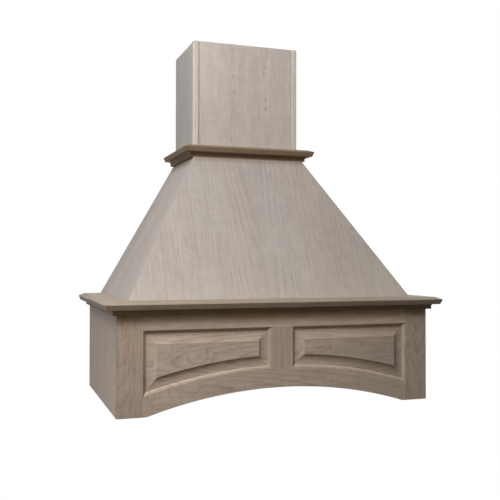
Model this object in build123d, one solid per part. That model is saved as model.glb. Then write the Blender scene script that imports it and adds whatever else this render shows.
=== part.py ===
from build123d import *
import math
import os

os.makedirs("parts", exist_ok=True)

# A wooden cover for a kitchen range hood, hung on a wall. A low box with an arched face frame
# carries a tapering upper part, and that carries a straight chimney. The cover is an open shell:
# the ventilator goes up into it from below and the duct leaves through the chimney.
#
# Frame: +X to the right seen from the front, -Y out into the room, +Z up.
# The wall is the plane y = 0, and z = 0 is the level of the bottom edge. Sizes are in millimetres.

# ---- box -------------------------------------------------------------------------------------
box_width = 914.4
box_depth = 558.8
box_height = 288.9            # bottom edge to the underside of the deck
side_thickness = 19.05
back_rail_thickness = 19.05
lower_back_rail_height = 114.3
upper_back_rail_height = 88.9

# ---- face frame ------------------------------------------------------------------------------
frame_thickness = 19.05
end_stile_width = 69.85
centre_stile_width = 63.5
top_rail_width = 63.5
arched_rail_width = 53.7      # measured along the arch's radius
arch_rise = 58.8
arch_foot = 9.1               # flat foot of the arched rail beside each end stile

# ---- moulded inner edge of the frame, and the groove behind it ---------------------------------
sticking_width = 7.0
sticking_depth = 8.7
sticking_step = 3.0
sticking_flat = 0.5
sticking_lip = 1.1
groove_width = 6.35
tongue_clearance = 0.1
panel_end_gap = 1.5           # room for the panel to swell at the bottom of the groove

# ---- raised panels ---------------------------------------------------------------------------
field_margin = 36.0           # frame's edge to the raised field
field_setback = 0.4
field_step = 1.6
cove_width = 24.0

# ---- ledgers and glue blocks in the box --------------------------------------------------------
ledger_thickness = 19.05
ledger_height = 38.1
ledger_bottom = 69.85
glue_block_leg = 38.1
glue_block_length = 127.0
glue_block_gap = 12.7         # above the ledger

# ---- deck ------------------------------------------------------------------------------------
deck_thickness = 12.7
deck_board_width = 76.2
deck_back_width = 38.1

# ---- cap moulding, one section for the mantel and for the collar -------------------------------
cap_height = 35.4
cap_foot = 11.5               # flat underside against the wall it is fixed to
cap_fascia_height = 7.9
cap_cove_radius = 6.5
cap_projection = 35.9
cap_lip = 30.0                # projection of the nosing's lower edge
cap_nose_height = 28.7
cap_nose_round = 2.2
cap_top_width = 19.0          # flat top, behind the bevel that falls to the nose

# ---- taper -----------------------------------------------------------------------------------
taper_inset = 35.0            # foot of the taper, behind the faces of the box
taper_height = 425.0          # top of the deck to the foot of the collar moulding
taper_front_lead = 10.1       # at that foot the taper stands this far before the collar frame
taper_side_lead = 1.55        # and this far beyond it on either side
taper_thickness = 12.7
hip_batten_leg = 38.1
hanging_rail_thickness = 19.05
hanging_rail_height = 76.2
hanging_rail_above_deck = 220.4
taper_top_rail_height = 63.5

# ---- collar frame ----------------------------------------------------------------------------
collar_reveal = 3.95          # the collar frame stands this far beyond the chimney's sides
collar_front_reveal = 18.0
collar_frame_thickness = 19.05
collar_back_width = 19.05

# ---- chimney ---------------------------------------------------------------------------------
chimney_width = 346.1
chimney_depth = 246.0
chimney_height = 330.2
chimney_thickness = 12.7
post_size = 17.5
post_round = 4.0              # outer corner of each post
post_bead = 2.0               # inner front corner of each post
post_reveal = 2.4             # posts stand this far proud of the panels
quirk_width = 2.4             # the narrow groove in the front panel beside each post
quirk_depth = 3.0
chimney_rail_thickness = 19.05
chimney_rail_height = 63.5

# ---- foot cleats -----------------------------------------------------------------------------
taper_cleat_width = 25.4
taper_cleat_height = 19.05
chimney_cleat_thickness = 19.05
chimney_cleat_height = 19.05

# ---- fasteners and holes ---------------------------------------------------------------------
screw_radius = 2.1
screw_head_radius = 4.2
screw_head_height = 2.6
screw_length = 28.5
screw_tip_length = 5.0
screw_tip_radius = 0.4
screw_clearance = 0.1
screw_end_margin = 60.0       # outermost screws of a cleat or ledger, from its ends
wall_hole_radius = 3.25
wall_hole_spacing = 406.4
insert_hole_radius = 2.0
insert_hole_depth = 25.0
insert_hole_spacing = 350.0

# ---- places worked out from the sizes above ----------------------------------------------------
half_width = box_width / 2
side_inner_x = half_width - side_thickness
frame_front_y = -box_depth
frame_back_y = frame_front_y + frame_thickness
opening_half = half_width - end_stile_width
opening_top_z = box_height - top_rail_width
centre_half = centre_stile_width / 2
arch_half_span = opening_half - arch_foot
arch_radius = (arch_half_span**2 + arch_rise**2) / (2 * arch_rise)
arch_centre_z = arch_rise - arch_radius
opening_radius = arch_radius + arched_rail_width
tongue_front = sticking_depth + tongue_clearance
tongue_back = sticking_depth + groove_width - tongue_clearance
ledger_top_z = ledger_bottom + ledger_height
deck_top_z = box_height + deck_thickness
mantel_foot_z = deck_top_z - cap_height
collar_foot_z = deck_top_z + taper_height
collar_top_z = collar_foot_z + cap_height
taper_top_z = collar_top_z - collar_frame_thickness
chimney_top_z = collar_top_z + chimney_height
post_inner_x = chimney_width / 2 - post_size
chimney_inner_x = chimney_width / 2 - post_reveal - chimney_thickness
chimney_inner_y = -(chimney_depth - post_reveal - chimney_thickness)
collar_inner_x = chimney_inner_x - chimney_cleat_thickness
collar_width = chimney_width + 2 * collar_reveal
collar_depth = chimney_depth + collar_front_reveal
taper_top_width = collar_width + 2 * taper_side_lead
taper_top_depth = collar_depth + taper_front_lead
overshoot = 1.0               # how far a cutting shape runs past what it cuts


# ---- small builders --------------------------------------------------------------------------
def board(x_low, x_high, y_low, y_high, z_low, z_high):
    """A square-edged board between two opposite corners."""
    corner = Pos(x_low, y_low, z_low)
    align = (Align.MIN, Align.MIN, Align.MIN)
    return corner * Box(x_high - x_low, y_high - y_low, z_high - z_low, align=align)


def wedge(bottom, top):
    """A board with sloping sides: two like polygons, one above the other, joined by flat faces."""
    count = len(bottom)
    faces = [Face(Wire.make_polygon(bottom)), Face(Wire.make_polygon(top))]
    for i in range(count):
        j = (i + 1) % count
        faces.append(Face(Wire.make_polygon([bottom[i], bottom[j], top[j], top[i]])))
    return Solid(Shell(faces))


def level_arc(start, end):
    """An arc from start to end that leaves its start level, parallel to the section's first axis."""
    across = end[0] - start[0]
    rise = end[1] - start[1]
    radius = (across**2 + rise**2) / (2 * abs(rise))
    side = math.copysign(1, rise)
    half_turn = math.asin(across / radius) / 2
    middle_x = start[0] + radius * math.sin(half_turn)
    middle_y = start[1] + side * radius * (1 - math.cos(half_turn))
    return ThreePointArc(start, (middle_x, middle_y), end)


def slab(sketch, front_y, back_y):
    """A sketch in X and Z, given its thickness between two planes parallel to the wall."""
    plane = Plane((0, back_y, 0), x_dir=(1, 0, 0), z_dir=(0, -1, 0))
    return extrude(plane * sketch, back_y - front_y)


def mirrored(part):
    """The same piece on the other side of the middle."""
    return mirror(part, about=Plane.YZ)


# ---- sections across the frame's inner edge ----------------------------------------------------
# First axis: from the edge of the face into the opening. Second axis: depth behind the face.
def sticking_cut():
    """What the cutter takes off the inner edge: a step and then a quarter round."""
    round_start = (sticking_flat, sticking_step)
    round_end = (sticking_width, sticking_depth - sticking_lip)
    outline = Polyline((0, -overshoot), (0, sticking_step), round_start)
    outline += level_arc(round_start, round_end)
    outline += Polyline(
        round_end,
        (sticking_width + overshoot, sticking_depth - sticking_lip),
        (sticking_width + overshoot, -overshoot),
        (0, -overshoot),
    )
    return make_face(outline)


def groove_cut():
    """The groove that holds the panel's tongue. It ends level with the edge of the face."""
    width = sticking_width + overshoot
    return Pos(0, sticking_depth) * Rectangle(width, groove_width, align=(Align.MIN, Align.MIN))


def cove_cut():
    """What the cutter takes off a panel round its field: a step, a cove and the flat tongue."""
    cove_start = (field_margin - cove_width, tongue_front)
    cove_end = (field_margin, field_setback + field_step)
    outline = Polyline((-overshoot, -overshoot), (-overshoot, tongue_front), cove_start)
    outline += level_arc(cove_start, cove_end)
    outline += Polyline(cove_end, (field_margin, -overshoot), (-overshoot, -overshoot))
    return make_face(outline)


def section_plane(origin, inward):
    """The plane of a section: inward points into the opening, and depth runs towards the wall."""
    return Plane(origin, x_dir=inward, z_dir=Vector(inward).cross(Vector(0, 1, 0)))


def straight_cut(section, origin, inward, length):
    """A section carried both ways along a straight edge."""
    return extrude(section_plane(origin, inward) * section, length, both=True)


def arched_cut(section):
    """A section carried round the arch of the bottom rail's upper edge."""
    origin = (0, frame_front_y, arch_centre_z + opening_radius)
    sweep_angle = 2 * math.degrees(math.asin(half_width / opening_radius))
    axis = Axis((0, 0, arch_centre_z), (0, 1, 0))
    turned = section_plane(origin, (0, 0, 1)) * section
    turned = turned.rotate(axis, -sweep_angle / 2)
    return revolve(turned, axis, sweep_angle)


# ---- face frame ------------------------------------------------------------------------------
def left_end_stile():
    edge = (-opening_half, frame_front_y, 0)
    stile = board(-half_width, -opening_half + sticking_width,
                  frame_front_y, frame_back_y, 0, box_height)
    for section in (sticking_cut(), groove_cut()):
        stile -= straight_cut(section, edge, (1, 0, 0), box_height + overshoot)
    return stile


def top_rail(end_stiles):
    """The rail's ends are coped over the moulded edges of the end stiles."""
    rail = board(-opening_half, opening_half, frame_front_y, frame_back_y,
                 opening_top_z - sticking_width, box_height)
    edge = (0, frame_front_y, opening_top_z)
    for section in (sticking_cut(), groove_cut()):
        rail -= straight_cut(section, edge, (0, 0, -1), half_width)
    for stile in end_stiles:
        rail -= stile
    return rail


def height_on_arc(radius, x):
    """Height of an arc that shares the arch's centre, at a distance from the middle."""
    return arch_centre_z + math.sqrt(radius**2 - x**2)


def arched_rail(end_stiles):
    edge_radius = opening_radius + sticking_width
    end_z = height_on_arc(edge_radius, opening_half)
    crown_z = height_on_arc(edge_radius, 0)
    outline = ThreePointArc((-arch_half_span, 0), (0, arch_rise), (arch_half_span, 0))
    outline += Polyline((arch_half_span, 0), (opening_half, 0), (opening_half, end_z))
    outline += ThreePointArc((opening_half, end_z), (0, crown_z), (-opening_half, end_z))
    outline += Polyline((-opening_half, end_z), (-opening_half, 0), (-arch_half_span, 0))
    rail = slab(make_face(outline), frame_front_y, frame_back_y)
    for section in (sticking_cut(), groove_cut()):
        rail -= arched_cut(section)
    for stile in end_stiles:
        rail -= stile
    return rail


def centre_stile(rails):
    """Both ends are coped over the rails, and its foot follows the arch."""
    blank_half = centre_half + sticking_width
    foot_z = height_on_arc(opening_radius - sticking_width, blank_half)
    stile = board(-blank_half, blank_half, frame_front_y, frame_back_y, foot_z, opening_top_z)
    for section in (sticking_cut(), groove_cut()):
        for side in (-1, 1):
            edge = (side * centre_half, frame_front_y, 0)
            stile -= straight_cut(section, edge, (side, 0, 0), box_height)
    for rail in rails:
        stile -= rail
    return stile


def left_raised_panel():
    """A panel with its tongue in the groove all round and a raised field in the middle."""
    left_x = -opening_half + panel_end_gap
    right_x = -centre_half - panel_end_gap
    top_z = opening_top_z - panel_end_gap
    radius = opening_radius + panel_end_gap
    middle_x = (left_x + right_x) / 2
    foot_left = (left_x, height_on_arc(radius, left_x))
    foot_middle = (middle_x, height_on_arc(radius, middle_x))
    foot_right = (right_x, height_on_arc(radius, right_x))
    outline = ThreePointArc(foot_left, foot_middle, foot_right)
    outline += Polyline(foot_right, (right_x, top_z), (left_x, top_z), foot_left)
    panel = slab(make_face(outline), frame_front_y + field_setback, frame_front_y + tongue_back)
    section = cove_cut()
    panel -= straight_cut(section, (-opening_half, frame_front_y, 0), (1, 0, 0), box_height)
    panel -= straight_cut(section, (-centre_half, frame_front_y, 0), (-1, 0, 0), box_height)
    panel -= straight_cut(section, (0, frame_front_y, opening_top_z), (0, 0, -1), half_width)
    panel -= arched_cut(section)
    return panel


# ---- cap moulding ----------------------------------------------------------------------------
def cap_section():
    """The moulding's section: first axis out from the wall it is fixed to, second axis up."""
    cove_low = (cap_foot, cap_fascia_height)
    cove_high = (cap_foot + cap_cove_radius, cap_fascia_height + cap_cove_radius)
    bend = cap_cove_radius * math.cos(math.radians(45))
    cove_middle = (cove_high[0] - bend, cove_low[1] + bend)
    lip = (cap_lip, cove_high[1])
    nose = (cap_projection, cap_nose_height)
    outline = Polyline((0, cap_height), (0, 0), (cap_foot, 0), cove_low)
    outline += ThreePointArc(cove_low, cove_middle, cove_high)
    outline += Polyline(cove_high, lip, nose, (cap_top_width, cap_height), (0, cap_height))
    section = make_face(outline)
    return fillet(section.vertices().sort_by(Axis.X)[-1], cap_nose_round)


def cap_moulding(wall_x, wall_y, foot_z):
    """Front length and two returns, mitred at the front corners and square against the wall."""
    section = cap_section()
    reach = cap_projection + overshoot
    front_plane = Plane((0, -wall_y, foot_z), x_dir=(0, -1, 0), z_dir=(-1, 0, 0))
    front = extrude(front_plane * section, wall_x + reach, both=True)
    side_plane = Plane((-wall_x, 0, foot_z), x_dir=(-1, 0, 0), z_dir=(0, 1, 0))
    left = extrude(side_plane * section, -(wall_y + reach))
    corner = (-wall_x, -wall_y)
    outer_corner = (-wall_x - reach, -wall_y - reach)
    front_plan = Polyline(corner, outer_corner, (-outer_corner[0], outer_corner[1]),
                          (-corner[0], corner[1]), close=True)
    left_plan = Polyline(corner, outer_corner, (outer_corner[0], 0), (corner[0], 0), close=True)
    level = Pos(0, 0, foot_z)
    front &= extrude(level * make_face(front_plan), cap_height)
    left &= extrude(level * make_face(left_plan), cap_height)
    return front, left, mirrored(left)


# ---- taper -----------------------------------------------------------------------------------
foot_half_x = half_width - taper_inset
foot_y = box_depth - taper_inset
slope_x = (foot_half_x - taper_top_width / 2) / taper_height
slope_y = (foot_y - taper_top_depth) / taper_height
wall_across_x = taper_thickness * math.hypot(1, slope_x)
wall_across_y = taper_thickness * math.hypot(1, slope_y)


def taper_outside(z):
    """Half width and depth of the taper's outside at a height."""
    rise = z - deck_top_z
    return foot_half_x - slope_x * rise, foot_y - slope_y * rise


def taper_inside(z):
    """Half width and depth of the taper's inside at a height."""
    half, depth = taper_outside(z)
    return half - wall_across_x, depth - wall_across_y


def taper_front_panel():
    """The front board, with both long edges mitred on the hips."""
    rings = []
    for z in (deck_top_z, taper_top_z):
        out_x, out_y = taper_outside(z)
        in_x, in_y = taper_inside(z)
        rings.append([(-out_x, -out_y, z), (out_x, -out_y, z), (in_x, -in_y, z), (-in_x, -in_y, z)])
    return wedge(*rings)


def taper_left_panel():
    """The side board, mitred on the hip and square against the wall."""
    rings = []
    for z in (deck_top_z, taper_top_z):
        out_x, out_y = taper_outside(z)
        in_x, in_y = taper_inside(z)
        rings.append([(-out_x, -out_y, z), (-in_x, -in_y, z), (-in_x, 0, z), (-out_x, 0, z)])
    return wedge(*rings)


def left_hip_batten():
    """A three-sided batten glued into the corner behind the hip, above the foot cleats."""
    rings = []
    for z in (deck_top_z + taper_cleat_height, taper_top_z):
        in_x, in_y = taper_inside(z)
        rings.append([(-in_x, -in_y, z), (-in_x + hip_batten_leg, -in_y, z),
                      (-in_x, -in_y + hip_batten_leg, z)])
    return wedge(*rings)


def front_foot_cleat():
    """Screwed down on the deck, with its outer face bevelled to the front panel."""
    low_z = deck_top_z
    high_z = deck_top_z + taper_cleat_height
    low_x, low_y = taper_inside(low_z)
    high_x, high_y = taper_inside(high_z)
    back_y = -low_y + taper_cleat_width
    end_x = high_x - taper_cleat_width
    bottom = [(-end_x, -low_y, low_z), (end_x, -low_y, low_z), (end_x, back_y, low_z),
              (-end_x, back_y, low_z)]
    top = [(-end_x, -high_y, high_z), (end_x, -high_y, high_z), (end_x, back_y, high_z),
           (-end_x, back_y, high_z)]
    return wedge(bottom, top)


def left_foot_cleat():
    low_z = deck_top_z
    high_z = deck_top_z + taper_cleat_height
    low_x, low_y = taper_inside(low_z)
    high_x, high_y = taper_inside(high_z)
    inner_x = -low_x + taper_cleat_width
    bottom = [(-low_x, -high_y, low_z), (inner_x, -high_y, low_z), (inner_x, 0, low_z),
              (-low_x, 0, low_z)]
    top = [(-high_x, -high_y, high_z), (inner_x, -high_y, high_z), (inner_x, 0, high_z),
           (-high_x, 0, high_z)]
    return wedge(bottom, top)


def taper_back_rail(low_z, high_z):
    """A rail across the taper's back, with its ends bevelled to the side panels."""
    low_x = taper_inside(low_z)[0]
    high_x = taper_inside(high_z)[0]
    front_y = -hanging_rail_thickness
    bottom = [(-low_x, front_y, low_z), (low_x, front_y, low_z), (low_x, 0, low_z), (-low_x, 0, low_z)]
    top = [(-high_x, front_y, high_z), (high_x, front_y, high_z), (high_x, 0, high_z),
           (-high_x, 0, high_z)]
    return wedge(bottom, top)


# ---- chimney ---------------------------------------------------------------------------------
def left_corner_post():
    """A square post with a rounded outer corner, and a bead where it meets the panel."""
    outer_x = -chimney_width / 2
    outer_y = -chimney_depth
    align = (Align.MIN, Align.MIN)
    square = Pos(outer_x, outer_y) * Rectangle(post_size, post_size, align=align)
    front_corners = square.vertices().sort_by(Axis.Y)[:2].sort_by(Axis.X)
    section = fillet(front_corners[0], post_round)
    bead_corner = section.vertices().sort_by_distance((outer_x + post_size, outer_y, 0))[0]
    section = fillet(bead_corner, post_bead)
    return extrude(Pos(0, 0, collar_top_z) * section, chimney_height)


# ---- screws ----------------------------------------------------------------------------------
def screw_shape(clearance):
    """A countersunk screw driven down the local Z axis, with its head's top at the origin."""
    shank = screw_radius + clearance
    head = screw_head_radius + clearance
    tip = screw_tip_radius + clearance
    end = -screw_length - clearance
    section = Polyline(
        (0, 0), (head, 0), (shank, -screw_head_height), (shank, end + screw_tip_length), (tip, end),
        (0, end), close=True,
    )
    return revolve(Plane.XZ * make_face(section), Axis.Z)


def screw_hole():
    """The screw's hole: its shape with clearance, opened a little above the head."""
    mouth = Cylinder(screw_head_radius + screw_clearance, overshoot,
                     align=(Align.CENTER, Align.CENTER, Align.MIN))
    return screw_shape(screw_clearance) + mouth


def screw_places(origins, out_of_board):
    """Planes at the screw heads: out_of_board points from the hole's mouth to the driver."""
    return [Plane(origin, z_dir=out_of_board) for origin in origins]


def spread(low, high, count):
    """Evenly spaced places between two ends, kept the end margin away from both."""
    first = low + screw_end_margin
    last = high - screw_end_margin
    return [first + (last - first) * i / (count - 1) for i in range(count)]


def screws(places):
    """One group of separate screws."""
    shape = screw_shape(0)
    return Compound(children=[plane.location * shape for plane in places])


def drilled(part, places):
    """A board with the holes of every screw that reaches into it."""
    hole = screw_hole()
    for plane in places:
        part -= plane.location * hole
    return part


def bored(part, origins, direction, radius, length):
    """A board with plain holes that start at the given points."""
    align = (Align.CENTER, Align.CENTER, Align.MIN)
    for origin in origins:
        start = Plane(origin, z_dir=direction).offset(-overshoot)
        part -= start.location * Cylinder(radius, length + overshoot, align=align)
    return part


# ---- box: face frame and shell -----------------------------------------------------------------
parts = {}
parts["left_end_stile"] = left_end_stile()
parts["right_end_stile"] = mirrored(parts["left_end_stile"])
end_stiles = [parts["left_end_stile"], parts["right_end_stile"]]
parts["top_rail"] = top_rail(end_stiles)
parts["arched_bottom_rail"] = arched_rail(end_stiles)
parts["centre_stile"] = centre_stile([parts["top_rail"], parts["arched_bottom_rail"]])
parts["left_raised_panel"] = left_raised_panel()
parts["right_raised_panel"] = mirrored(parts["left_raised_panel"])
parts["left_side_panel"] = board(-half_width, -side_inner_x, frame_back_y, 0, 0, box_height)
parts["right_side_panel"] = mirrored(parts["left_side_panel"])
parts["lower_back_rail"] = board(-side_inner_x, side_inner_x, -back_rail_thickness, 0,
                                 0, lower_back_rail_height)
parts["upper_back_rail"] = board(-side_inner_x, side_inner_x, -back_rail_thickness, 0,
                                 box_height - upper_back_rail_height, box_height)

# ---- box: ledgers and glue blocks --------------------------------------------------------------
ledger_inner_x = side_inner_x - ledger_thickness
ledger_front_y = frame_back_y + ledger_thickness
ledger_back_y = -back_rail_thickness - ledger_thickness
parts["left_ledger"] = board(-side_inner_x, -ledger_inner_x, frame_back_y, -back_rail_thickness,
                             ledger_bottom, ledger_top_z)
parts["right_ledger"] = mirrored(parts["left_ledger"])
parts["front_ledger"] = board(-ledger_inner_x, ledger_inner_x, frame_back_y, ledger_front_y,
                              ledger_bottom, ledger_top_z)
parts["back_ledger"] = board(-ledger_inner_x, ledger_inner_x, ledger_back_y, -back_rail_thickness,
                             ledger_bottom, ledger_top_z)


def left_glue_block():
    corner = (-side_inner_x, frame_back_y)
    plan = Polyline(corner, (corner[0] + glue_block_leg, corner[1]),
                    (corner[0], corner[1] + glue_block_leg), close=True)
    return extrude(Pos(0, 0, ledger_top_z + glue_block_gap) * make_face(plan), glue_block_length)


parts["left_glue_block"] = left_glue_block()
parts["right_glue_block"] = mirrored(parts["left_glue_block"])

# ---- deck and mantel ---------------------------------------------------------------------------
deck_inner_x = half_width - deck_board_width
deck_inner_y = -box_depth + deck_board_width
parts["deck_front_board"] = board(-half_width, half_width, -box_depth, deck_inner_y,
                                  box_height, deck_top_z)
parts["deck_left_board"] = board(-half_width, -deck_inner_x, deck_inner_y, 0, box_height, deck_top_z)
parts["deck_right_board"] = mirrored(parts["deck_left_board"])
parts["deck_back_board"] = board(-deck_inner_x, deck_inner_x, -deck_back_width, 0,
                                 box_height, deck_top_z)
mantel = cap_moulding(half_width, box_depth, mantel_foot_z)
for name, length in zip(("front", "left", "right"), mantel):
    parts["mantel_moulding_" + name] = length

# ---- taper -----------------------------------------------------------------------------------
parts["taper_front_panel"] = taper_front_panel()
parts["taper_left_panel"] = taper_left_panel()
parts["taper_right_panel"] = mirrored(parts["taper_left_panel"])
parts["left_hip_batten"] = left_hip_batten()
parts["right_hip_batten"] = mirrored(parts["left_hip_batten"])
parts["front_foot_cleat"] = front_foot_cleat()
parts["left_foot_cleat"] = left_foot_cleat()
parts["right_foot_cleat"] = mirrored(parts["left_foot_cleat"])
hanging_rail_z = deck_top_z + hanging_rail_above_deck
parts["hanging_rail"] = taper_back_rail(hanging_rail_z, hanging_rail_z + hanging_rail_height)
parts["taper_top_rail"] = taper_back_rail(taper_top_z - taper_top_rail_height, taper_top_z)

# ---- collar ----------------------------------------------------------------------------------
collar_half = collar_width / 2
parts["collar_frame_front"] = board(-collar_half, collar_half, -collar_depth, chimney_inner_y,
                                    taper_top_z, collar_top_z)
parts["collar_frame_left"] = board(-collar_half, -collar_inner_x, chimney_inner_y, 0,
                                   taper_top_z, collar_top_z)
parts["collar_frame_right"] = mirrored(parts["collar_frame_left"])
parts["collar_frame_back"] = board(-collar_inner_x, collar_inner_x, -collar_back_width, 0,
                                   taper_top_z, collar_top_z)
# The collar moulding reaches below its frame, and its back is fitted to the sloping panels.
collar = cap_moulding(collar_half, collar_depth, collar_foot_z)
for name, length in zip(("front", "left", "right"), collar):
    for panel in ("taper_front_panel", "taper_left_panel", "taper_right_panel"):
        length -= parts[panel]
    parts["collar_moulding_" + name] = length

# ---- chimney ---------------------------------------------------------------------------------
post_back_y = -chimney_depth + post_size
panel_front_y = -chimney_depth + post_reveal
side_outer_x = chimney_width / 2 - post_reveal
parts["chimney_left_post"] = left_corner_post()
parts["chimney_right_post"] = mirrored(parts["chimney_left_post"])
quirk_back_y = panel_front_y + quirk_depth
panel_core = board(-post_inner_x, post_inner_x, quirk_back_y, chimney_inner_y, collar_top_z, chimney_top_z)
panel_face = board(-post_inner_x + quirk_width, post_inner_x - quirk_width, panel_front_y, quirk_back_y,
                   collar_top_z, chimney_top_z)
parts["chimney_front_panel"] = panel_core + panel_face
parts["chimney_left_panel"] = board(-side_outer_x, -chimney_inner_x, post_back_y, 0,
                                    collar_top_z, chimney_top_z)
parts["chimney_right_panel"] = mirrored(parts["chimney_left_panel"])
parts["chimney_lower_rail"] = board(-chimney_inner_x, chimney_inner_x, -chimney_rail_thickness, 0,
                                    collar_top_z, collar_top_z + chimney_rail_height)
parts["chimney_upper_rail"] = board(-chimney_inner_x, chimney_inner_x, -chimney_rail_thickness, 0,
                                    chimney_top_z - chimney_rail_height, chimney_top_z)
chimney_cleat_top_z = collar_top_z + chimney_cleat_height
parts["chimney_left_cleat"] = board(-chimney_inner_x, -collar_inner_x, post_back_y,
                                    -chimney_rail_thickness, collar_top_z, chimney_cleat_top_z)
parts["chimney_right_cleat"] = mirrored(parts["chimney_left_cleat"])

# ---- screws of the ledgers ---------------------------------------------------------------------
ledger_middle_z = ledger_bottom + ledger_height / 2
side_screw_y = spread(frame_back_y, -back_rail_thickness, 3)
across_x = spread(-ledger_inner_x, ledger_inner_x, 4)
stile_screw_x = (opening_half + side_inner_x) / 2 - sticking_width
front_screw_x = (-stile_screw_x, across_x[1], across_x[2], stile_screw_x)
left_places = screw_places([(-ledger_inner_x, y, ledger_middle_z) for y in side_screw_y], (1, 0, 0))
right_places = screw_places([(ledger_inner_x, y, ledger_middle_z) for y in side_screw_y], (-1, 0, 0))
front_places = screw_places([(x, ledger_front_y, ledger_middle_z) for x in front_screw_x], (0, 1, 0))
back_places = screw_places([(x, ledger_back_y, ledger_middle_z) for x in across_x], (0, -1, 0))
parts["ledger_screws"] = screws(left_places + right_places + front_places + back_places)
for name in ("left_ledger", "left_side_panel"):
    parts[name] = drilled(parts[name], left_places)
for name in ("right_ledger", "right_side_panel"):
    parts[name] = drilled(parts[name], right_places)
for name in ("front_ledger", "left_end_stile", "right_end_stile", "arched_bottom_rail"):
    parts[name] = drilled(parts[name], front_places)
for name in ("back_ledger", "lower_back_rail"):
    parts[name] = drilled(parts[name], back_places)

# ---- screws of the taper's foot cleats ---------------------------------------------------------
cleat_top_z = deck_top_z + taper_cleat_height
cleat_half_x, cleat_depth = taper_inside(cleat_top_z)
cleat_inner_x = taper_inside(deck_top_z)[0] - taper_cleat_width
cleat_inner_y = taper_inside(deck_top_z)[1] - taper_cleat_width
front_cleat_y = -(cleat_depth + cleat_inner_y) / 2
side_cleat_x = (cleat_half_x + cleat_inner_x) / 2
front_cleat_x = spread(-cleat_inner_x, cleat_inner_x, 4)
side_cleat_y = spread(-cleat_inner_y, 0, 3)
foot_origins = [(x, front_cleat_y, cleat_top_z) for x in front_cleat_x]
foot_origins += [(side * side_cleat_x, y, cleat_top_z) for side in (-1, 1) for y in side_cleat_y]
foot_places = screw_places(foot_origins, (0, 0, 1))
parts["foot_cleat_screws"] = screws(foot_places)
for name in ("front_foot_cleat", "left_foot_cleat", "right_foot_cleat",
             "deck_front_board", "deck_left_board", "deck_right_board"):
    parts[name] = drilled(parts[name], foot_places)

# ---- screws of the chimney's foot cleats -------------------------------------------------------
chimney_screw_x = (chimney_inner_x + collar_inner_x) / 2
chimney_origins = [(side * chimney_screw_x, y, chimney_cleat_top_z)
                   for side in (-1, 1) for y in spread(post_back_y, -chimney_rail_thickness, 2)]
chimney_places = screw_places(chimney_origins, (0, 0, 1))
parts["chimney_cleat_screws"] = screws(chimney_places)
for name in ("chimney_left_cleat", "chimney_right_cleat", "collar_frame_left", "collar_frame_right"):
    parts[name] = drilled(parts[name], chimney_places)

# ---- holes for the wall screws and for the insert's screws -------------------------------------
upper_hole_z = box_height - upper_back_rail_height / 2
hanging_hole_z = hanging_rail_z + hanging_rail_height / 2
for name, hole_z, depth in (("upper_back_rail", upper_hole_z, back_rail_thickness),
                            ("hanging_rail", hanging_hole_z, hanging_rail_thickness)):
    origins = [(side * wall_hole_spacing / 2, -depth, hole_z) for side in (-1, 1)]
    parts[name] = bored(parts[name], origins, (0, 1, 0), wall_hole_radius, depth + overshoot)
ledger_middle_y = (frame_back_y - back_rail_thickness) / 2
ledger_middle_x = side_inner_x - ledger_thickness / 2
for name, side in (("left_ledger", -1), ("right_ledger", 1)):
    origins = [(side * ledger_middle_x, ledger_middle_y + end * insert_hole_spacing / 2, ledger_bottom)
               for end in (-1, 1)]
    parts[name] = bored(parts[name], origins, (0, 0, 1), insert_hole_radius, insert_hole_depth)

for name, part in parts.items():
    export_step(part, "parts/" + name + ".step")
print(len(parts), "nodes")
print("top", round(chimney_top_z, 2), "collar foot", round(collar_foot_z, 2))
print("arch radius", round(arch_radius, 1), "taper slopes", round(slope_x, 4), round(slope_y, 4))
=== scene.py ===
# %% [markdown]
# # A wooden range hood cover
#
# The object is an unfinished maple cover that hangs on a kitchen wall and hides a range ventilator.
# A low box with an arched face frame and two raised panels carries a mantel moulding. Above it a tapering
# part narrows to a collar moulding, and a straight chimney with rounded corner posts stands on that.
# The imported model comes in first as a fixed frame, in metres. Every size here is read from it or named.

# %% Load the frame
import math

import bmesh
import bpy
import numpy as np
from mathutils import Matrix, Vector


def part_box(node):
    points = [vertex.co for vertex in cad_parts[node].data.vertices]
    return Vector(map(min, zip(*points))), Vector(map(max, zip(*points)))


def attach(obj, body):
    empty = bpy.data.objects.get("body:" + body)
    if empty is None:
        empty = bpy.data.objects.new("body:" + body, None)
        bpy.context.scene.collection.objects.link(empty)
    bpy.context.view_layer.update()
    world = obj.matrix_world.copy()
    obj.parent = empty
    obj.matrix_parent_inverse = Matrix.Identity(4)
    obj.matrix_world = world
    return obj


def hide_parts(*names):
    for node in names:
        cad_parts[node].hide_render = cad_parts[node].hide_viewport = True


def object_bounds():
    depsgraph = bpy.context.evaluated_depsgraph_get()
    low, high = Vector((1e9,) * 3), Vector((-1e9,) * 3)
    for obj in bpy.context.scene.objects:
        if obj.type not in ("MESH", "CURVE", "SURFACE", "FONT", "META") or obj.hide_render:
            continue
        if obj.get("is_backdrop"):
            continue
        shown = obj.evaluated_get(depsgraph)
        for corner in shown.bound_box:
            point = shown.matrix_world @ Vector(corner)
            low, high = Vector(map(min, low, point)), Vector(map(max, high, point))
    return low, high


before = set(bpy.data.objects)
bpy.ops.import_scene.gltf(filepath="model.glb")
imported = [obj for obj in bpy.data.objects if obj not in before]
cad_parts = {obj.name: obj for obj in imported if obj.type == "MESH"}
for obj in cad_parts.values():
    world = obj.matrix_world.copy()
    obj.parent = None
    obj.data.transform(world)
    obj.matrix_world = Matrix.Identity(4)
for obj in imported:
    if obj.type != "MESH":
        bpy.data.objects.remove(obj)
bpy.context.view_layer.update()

scene = bpy.context.scene
link = scene.collection.objects.link
mm = 0.001

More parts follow.
